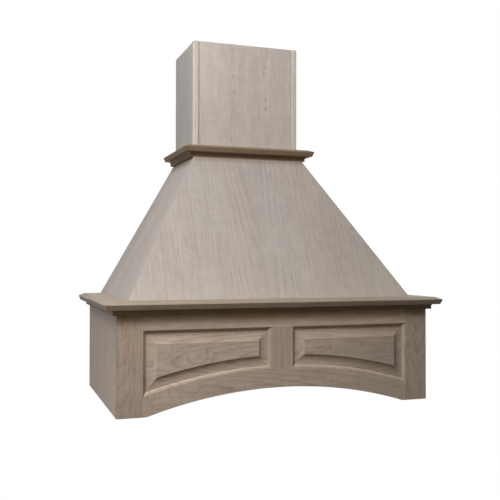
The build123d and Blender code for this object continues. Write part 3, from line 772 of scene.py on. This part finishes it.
def cap_pieces(name, tone, wall_x, wall_y, foot_z, section, front_section=None, hip=None):
    """Front length and two returns. wall_x and wall_y are the faces that the moulding is fixed to.

    A point that stands out by o from the wall ends o beyond the corner, which makes the mitre. Between
    the hips, at the distance hip from the middle, the front length's back may be cut to another fit."""
    out, up = section.T
    slanting = Vector((0, -1, 1)).normalized()
    rows = [(wall_x + out, section)]
    if front_section is not None:
        rows += [(hip - fitting_width, section), (hip - 2 * fitting_width, front_section)]
    rows = [(-x, shape) for x, shape in rows] + [(x, shape) for x, shape in rows[::-1]]
    front = np.stack([in_space(x, -wall_y - shape[:, 0], foot_z + shape[:, 1]) for x, shape in rows])
    # Painted shade: the front length darkens towards the right as the light falls off.
    carried(name + "_front", front, tone, X, slanting, heart=(30, 50), spacing=4, fade=0.12)
    for side, word in ((-1, "left"), (1, "right")):
        stations = in_space(side * (wall_x + out), [-wall_y - out, 0 * out], foot_z + up)
        slanting = Vector((side, 0, 1)).normalized()
        carried(name + "_" + word, stations, tone, Y, slanting, heart=(20, 40), spacing=4)


mantel_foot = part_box("mantel_moulding_front")[0].z
cap_section = rounded(cap_corners, cap_radii, profile_steps)
cap_pieces("mantel_moulding", "mantel", half_width, -frame_front, mantel_foot, cap_section)
print("mantel moulding foot at", round(mantel_foot, 4))

# %% [markdown]
# The collar moulding hangs below the frame that it is fixed to, and its back is planed to the slope of
# the taper's boards. The front board leans out further than the side boards, so the front length has a
# deeper cut between the hips and the shallow one at its ends, as the returns have.

# %% Collar moulding
collar_frame_low, collar_frame_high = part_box("collar_frame_front")
collar_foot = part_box("collar_moulding_front")[0].z
collar_half, collar_depth = collar_frame_high.x, -collar_frame_low.y
frame_foot = collar_frame_low.z - collar_foot
taper = node_points("taper_front_panel")
foot_row = taper[taper[:, 2] < taper[:, 2].min() + mm]
head_row = taper[taper[:, 2] > taper[:, 2].max() - mm]
# A lead is how far a board's face stands out beyond the collar frame at the moulding's foot.
rise = head_row[0, 2] - foot_row[0, 2]
side_slope = (foot_row[:, 0].max() - head_row[:, 0].max()) / rise
front_slope = (head_row[:, 1].min() - foot_row[:, 1].min()) / rise
side_lead = head_row[:, 0].max() + side_slope * frame_foot - collar_half
front_lead = -head_row[:, 1].min() + front_slope * frame_foot - collar_depth
cap_front = cap_corners[1:]
fitted_radii = np.concatenate([[0.0, 0.0, 0.0], cap_radii[1:]])
side_back = [(0, frame_foot), (0, side_lead / side_slope), (side_lead, 0)]
front_back = [(0, frame_foot), (front_lead - front_slope * frame_foot, frame_foot - 0.1 * mm),
              (front_lead, 0)]
returns = rounded(np.vstack([side_back, cap_front]), fitted_radii, profile_steps)
between_hips = rounded(np.vstack([front_back, cap_front]), fitted_radii, profile_steps)
hip = collar_half + side_lead - side_slope * np.minimum(returns[:, 1], frame_foot)
cap_pieces("collar_moulding", "collar", collar_half, collar_depth, collar_foot, returns, between_hips, hip)
print("collar moulding foot at", round(collar_foot, 4), "leads", round(side_lead, 5), round(front_lead, 5))

# %% [markdown]
# ## Boards
#
# Flat boards are prisms between two like four-sided ends. Their long arrises are rounded, and near each
# end the outline draws in by a quarter circle, so the end's arrises are eased as well. The tapered ones
# are the same with a smaller upper end, and their corners are read from the frame.


# %% Board helpers
thick_layers, thin_layers = 9, 7     # veneers in the two thicknesses of plywood


def eased_end(ease, steps):
    """How far from its end a board's outline lies, and how far it is drawn in there: at the angle t of a
    quarter circle, ease (1 - cos t) and ease (1 - sin t)."""
    turn = np.linspace(0, math.pi / 2, steps + 1)
    return [(ease * (1 - math.cos(t)), ease * (1 - math.sin(t))) for t in turn]


def eased_prism(start, end, ease, steps=3):
    """Stations of a board between two four-cornered ends, with every arris eased by a quarter circle."""
    length = np.linalg.norm(end - start, axis=1, keepdims=True)
    rows = []
    for origin, other, order in ((start, end, 1), (end, start, -1)):
        for along, drawn_in in eased_end(ease, steps)[::order]:
            corners = origin + (other - origin) * along / length
            back = np.roll(corners, 1, 0) - corners
            ahead = np.roll(corners, -1, 0) - corners
            back /= np.linalg.norm(back, axis=1, keepdims=True)
            ahead /= np.linalg.norm(ahead, axis=1, keepdims=True)
            sine = np.linalg.norm(np.cross(back, ahead), axis=1, keepdims=True)
            corners = corners + drawn_in * (back + ahead) / sine
            rows.append(rounded(corners, [max(ease - drawn_in, ease / 6)] * 4, steps))
    return np.stack(rows)


def square_cut(node, axis, ease):
    """Stations of a square-cut board that fills a node's box and runs along an axis."""
    limits = np.array(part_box(node))
    first, second = (i for i in range(3) if i != axis)
    ends = np.repeat(limits[:, None], 4, 1)
    ends[:, :, first] = limits[[0, 1, 1, 0], first]
    ends[:, :, second] = limits[[0, 0, 1, 1], second]
    return eased_prism(*ends, ease)


def sloping_ends(node):
    """Lower and upper end of a tapered board, from the frame's mesh, with the corners in one order."""
    corners = np.unique(node_points(node).round(6), axis=0)
    ends = []
    for level in (corners[:, 2].min(), corners[:, 2].max()):
        end = corners[np.isclose(corners[:, 2], level, atol=1e-5)]
        about = end - end.mean(0)
        ends.append(end[np.argsort(np.arctan2(about[:, 1], about[:, 0]))])
    return ends


def sheet_of(node, face, layers):
    """Thickness, layers and front of a plywood sheet, for its edge stripes."""
    along = [corner.dot(face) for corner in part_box(node)]
    return max(along) - min(along), layers, max(along)


# %% [markdown]
# The box's sides are plywood with upright grain. The deck closes the box round the ventilator's cut-out,
# and only a strip of it shows in front of the taper.

# %% Sides of the box and deck
board_ease = 0.6 * mm
for side, node in ((-1, "left_side_panel"), (1, "right_side_panel")):
    carried(node, square_cut(node, 2, board_ease), "side", Z, side * X, heart=(-120, 70), spacing=7,
            wander=20, sheet=sheet_of(node, side * X, thick_layers))
for node, axis in (("deck_front_board", 0), ("deck_left_board", 1), ("deck_right_board", 1)):
    carried(node, square_cut(node, axis, board_ease), "mantel", axes[axis], Z, heart=(60, 60),
            sheet=sheet_of(node, Z, thin_layers))

# %% [markdown]
# ## Taper
#
# Three sloping boards meet in mitres on the hips. The front one is cut from a veneered sheet whose grain
# runs almost straight up the slope. Here and there a small knot under the veneer bends the lines aside,
# and it is placed by its distance along and across the grain from the middle of the face.

# %% Taper boards
grain_lean = math.radians(-1.5)
taper_thickness = 12.7 * mm
sheet_ease = 0.4 * mm
# Painted shadow: the front board darkens towards its top, under the collar moulding's shadow.
front_figure = dict(fade=0.38, knots=[(64, 228, 30, 18), (-100, 234, 26, -16), (-188, 225, 24, 14),
                                      (70, -202, 26, 18), (-97, -216, 30, 16)])


def sloping_face(node, outward):
    """The normal of a tapered board's outer face, and how far out the face lies along it."""
    low_end, high_end = (end[np.argsort(end @ outward)[-2:]] for end in sloping_ends(node))
    normal = np.cross(low_end[1] - low_end[0], high_end[0] - low_end[0])
    normal *= np.sign(normal @ outward) / np.linalg.norm(normal)
    return Vector(normal), float(low_end[0] @ normal)


for node, outward, leaning, figure in (("taper_front_panel", -Y, grain_lean, front_figure),
                                       ("taper_left_panel", -X, 0.0, {}), ("taper_right_panel", X, 0.0, {})):
    face, front = sloping_face(node, outward)
    up_slope = (Z - face * face.z).normalized()
    along = up_slope * math.cos(leaning) + face.cross(up_slope) * math.sin(leaning)
    carried(node, eased_prism(*sloping_ends(node), sheet_ease), "taper", along, face, heart=(10, 90),
            lean=0.04, spacing=9, rings_show=0.5, fibres_show=0.2, wander=24, shade=0.97,
            sheet=(taper_thickness, thin_layers, front), **figure)
    print(node, "faces", [round(c, 3) for c in face])

# %% [markdown]
# ## Collar frame and chimney
#
# A flat frame caps the taper inside the collar moulding, and the chimney stands on it. Its corners are
# posts with a rounded outer corner and a small bead where they meet the panels, which lie a little behind
# them. A narrow groove in the front panel beside each bead shows as a thin dark line.

# %% Collar frame
for node, axis in (("collar_frame_front", 0), ("collar_frame_left", 1), ("collar_frame_right", 1)):
    carried(node, square_cut(node, axis, board_ease), "collar", axes[axis], Z, heart=(30, 50), lean=0.02)

# %% Chimney posts and panels
post_round = 4.0 * mm
post_bead = 2.0 * mm
post_top_ease = 1.4 * mm
quirk_width = 2.4 * mm       # the narrow groove in the front panel beside each post
quirk_depth = 3.0 * mm


def upright(corners, radii, low_z, high_z, ease, steps=4):
    """Stations of an upright piece: a rounded outline, drawn in towards its middle near the top."""
    toward_middle = np.sign(corners.mean(0) - corners)
    rows = []
    for below, drawn_in in [(high_z - low_z, 0.0)] + eased_end(ease, steps)[::-1]:
        kept_radii = np.maximum(radii - drawn_in, fine_arris)
        outline = rounded(corners + toward_middle * drawn_in, kept_radii, profile_steps)
        rows.append(in_space(*outline.T, high_z - below))
    return np.stack(rows)


for side, node in ((-1, "chimney_left_post"), (1, "chimney_right_post")):
    low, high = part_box(node)
    outer, inner = (low.x, high.x) if side < 0 else (high.x, low.x)
    corners = np.array([(outer, low.y), (inner, low.y), (inner, high.y), (outer, high.y)])
    radii = np.array([post_round, post_bead, arris, arris])
    carried(node, upright(corners, radii, low.z, high.z, post_top_ease), "post", Z, -Y, heart=(60, 60),
            rings_show=0.25, fibres_show=0.2)

fleck_lines = [(44, 12, 1.3), (-67, 16, 0.8)]
for node, face in (("chimney_front_panel", -Y), ("chimney_left_panel", -X), ("chimney_right_panel", X)):
    is_front = node == "chimney_front_panel"
    if is_front:
        low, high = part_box(node)
        face_edge, quirk_floor = high.x - quirk_width, low.y + quirk_depth
        corners = np.array([(low.x, quirk_floor), (-face_edge, quirk_floor), (-face_edge, low.y),
                            (face_edge, low.y), (face_edge, quirk_floor), (high.x, quirk_floor),
                            (high.x, high.y), (low.x, high.y)])
        stations = upright(corners, np.full(len(corners), sheet_ease), low.z, high.z, sheet_ease)
    else:
        stations = square_cut(node, 2, sheet_ease)
    # Painted shade: the left panel takes the darker, greyer shaded veneer.
    carried(node, stations, "grey veneer" if node == "chimney_left_panel" else "veneer", Z, face,
            heart=(-60, 50), lean=0.02, spacing=6, fibres_show=0.22, wander=16,
            sheet=sheet_of(node, face, thin_layers), columns=fleck_lines if is_front else ())

# %% [markdown]
# ## Inner pieces
#
# Ledgers, cleats, battens, blocks and back rails keep the shapes of the frame, with their screw holes.
# They are sawn from the same maple, each with its grain along its longest side.

# %% Inner woodwork
shown = {name: node for name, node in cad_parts.items() if not node.hide_render}
screw_counts = {"ledger_screws": 14, "foot_cleat_screws": 10, "chimney_cleat_screws": 4}
for name in sorted(set(shown) - set(screw_counts)):
    low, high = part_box(name)
    size = list(high - low)
    along, face = axes[size.index(max(size))], axes[size.index(min(size))]
    finish = wood(name, "inside", along, face, heart=(0, 60), fibres_show=0.4)
    shown[name].data.materials.clear()
    shown[name].data.materials.append(finish)
print("inner pieces:", len(shown) - len(screw_counts))

# %% [markdown]
# ## Screws
#
# The screws are countersunk wood screws of zinc plated steel with a square socket. A screw is a turned
# piece, so its surface is a radius for every depth and angle: the socket, the flat head, the cone under
# it, a plain shank, a thread that winds down, and a short point. One shape is made and set in every hole.

# %% Zinc plated steel
steel, tree = new_material("zinc plated steel")
place = add(tree, "TexCoord")["Object"]
patches = add(tree, "TexNoise", {"Vector": place, "Scale": 900.0, "Detail": 2.0})[0]
bright = (0.66, 0.63, 0.52, 1.0)
dull = (0.48, 0.46, 0.40, 1.0)
colour = mixed(tree, stepped(tree, patches, 0.35, 0.65), bright, dull)
rough = stepped(tree, patches, 0.3, 0.7, 0.28, 0.42)
relief = add(tree, "Bump", {"Height": patches, "Distance": 0.05 * mm, "Strength": 0.4})
shader = add(tree, "BsdfPrincipled", {"Base Color": colour, "Roughness": rough, "Metallic": 1.0,
                                      "Normal": relief[0]})
add(tree, "OutputMaterial", {"Surface": shader[0]})

# %% Screw shape
screw_length = 28.5 * mm
head_radius = 4.2 * mm
head_height = 2.6 * mm
shank_radius = 1.9 * mm
thread_start = 10.0 * mm
thread_end = 24.5 * mm
thread_pitch = 2.4 * mm
thread_root = 1.45 * mm
thread_height = 0.6 * mm
socket_half = 1.3 * mm
socket_depth = 1.7 * mm
tip_radius = 0.4 * mm


def screw_rings(around=24, per_turn=6):
    """Rings of one screw: its head's top is at the origin and it points down Z.

    At angle t the square socket's radius is a / max(|cos t|, |sin t|). At depth d the thread's radius is
    root + height (1 - |2 f - 1|) ^ 2, where f is the fraction of d / pitch + t / 2 pi."""
    t = np.arange(around) * 2 * math.pi / around
    square = socket_half / np.maximum(np.abs(np.cos(t)), np.abs(np.sin(t)))
    plain = [(head_radius - 0.1 * mm, 0.0), (head_radius, 0.1 * mm), (head_radius, 0.3 * mm),
             (shank_radius, head_height), (shank_radius, thread_start)]
    radii = [0.9 * square, square] + [np.full(around, radius) for radius, _ in plain]
    depths = [socket_depth, 0.0] + [depth for _, depth in plain]
    spans = int((thread_end - thread_start) / thread_pitch * per_turn)
    thread_depths = np.linspace(thread_start, thread_end, spans + 1)[1:]
    winding = (thread_depths[:, None] / thread_pitch + t / (2 * math.pi)) % 1
    thread = thread_root + thread_height * (1 - np.abs(2 * winding - 1)) ** 2
    taper_radius, taper_depth = 0.75 * thread_root, 0.6 * thread_end + 0.4 * screw_length
    point = [np.full(around, taper_radius), np.full(around, tip_radius)]
    radii = np.vstack([radii, thread, point])
    depths = np.concatenate([depths, thread_depths, [taper_depth, screw_length]])
    return in_space(radii * np.cos(t), radii * np.sin(t), -depths[:, None])


def screw_places(node, count):
    """Head centre and outward direction of each screw. In the frame's mesh every screw is one run of
    points, and its head is the end that has the point furthest from its axis."""
    runs = node_points(node).reshape(count, -1, 3)
    low, high = runs.min(1), runs.max(1)
    middle = (low + high) / 2
    along = np.eye(3)[(high - low).argmax(1)]
    offsets = runs - middle[:, None]
    depth = (offsets * along[:, None]).sum(2)
    away = np.linalg.norm(offsets - depth[..., None] * along[:, None], axis=2)
    head_side = np.sign(np.take_along_axis(depth, away.argmax(1)[:, None], 1))
    outward = along * head_side
    return middle + outward * (high - low).max(1)[:, None] / 2, outward


# %% Screws
one_screw = screw_rings()
rows, around = one_screw.shape[:2]
index = np.arange(rows * around).reshape(rows, around)
for node, count in screw_counts.items():
    heads, outward = screw_places(node, count)
    turned = [np.array(Vector(direction).to_track_quat("Z", "Y").to_matrix()) for direction in outward]
    vertices = np.vstack([one_screw.reshape(-1, 3) @ turn.T + head for turn, head in zip(turned, heads)])
    first = (np.arange(count) * rows * around)[:, None]
    faces = (first[:, :, None] + bands(index)[None]).reshape(-1, 4).tolist()
    faces += (first + index[0][None]).tolist() + (first + index[-1][None]).tolist()
    add_piece(node, "_steel", vertices, faces, steel)
    print(node, count, "screws, head of the first at", heads[0].round(4), "facing", outward[0])

# %% [markdown]
#
# The dressed part has to keep the frame's size. Its bounds are found here.

# %% Size of the dressed part
low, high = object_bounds()
